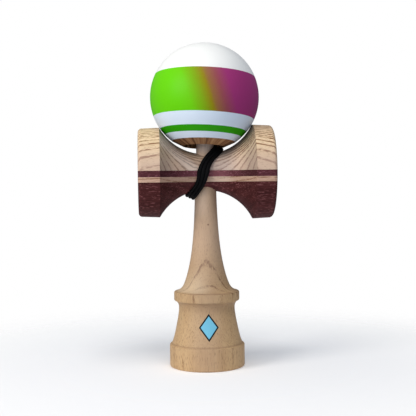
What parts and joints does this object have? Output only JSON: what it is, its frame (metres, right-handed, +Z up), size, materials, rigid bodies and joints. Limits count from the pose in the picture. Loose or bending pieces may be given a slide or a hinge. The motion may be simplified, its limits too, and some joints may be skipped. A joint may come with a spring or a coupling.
{
  "type": "kendama",
  "caption": "Wooden cup-and-ball toy: turned handle with a spike, laminated cross-piece of cups, drilled ball seated over the spike, and a string wound round the waist.",
  "frame": {"origin": "centre of the base rim, on the table that the toy stands on", "axes": "+Z up along the handle to the spike, +X along the cross-piece to the big cup, front towards -Y"},
  "size_m": [0.074, 0.0617, 0.1795],
  "materials": {
    "ash_handle": "satin ash",
    "ash_block": "satin ash",
    "light_strip": "satin ash",
    "dark_wood": "satin purpleheart",
    "painted_ball": "satin paint on turned wood",
    "bead": "satin",
    "string": "braided cord"
  },
  "bodies": {
    "ken": {"ken_handle": "ash_handle", "sarado_upper_block": "ash_block", "sarado_dark_strip": "dark_wood", "sarado_light_strip": "light_strip", "sarado_lower_block": "dark_wood", "sarado_knot": "string", "string_winding": "string", "string_lead": "string"},
    "string_end": {"string_bead": "bead", "bead_knot": "string", "string_tail": "string"},
    "tama": {"tama_ball": "painted_ball"}
  },
  "joints": [
    {"name": "tama_lift", "type": "slide", "parent": "ken", "child": "string_end", "axis": [0, 0, 1], "range_m": [0, 0.05], "deforming": ["string_lead"]},
    {"name": "tama_spin", "type": "hinge", "parent": "string_end", "child": "tama", "pos_m": [-0.00005, 0, 0.1485], "axis": [0.0348, 0.0872, 0.9956], "continuous": true}
  ]
}
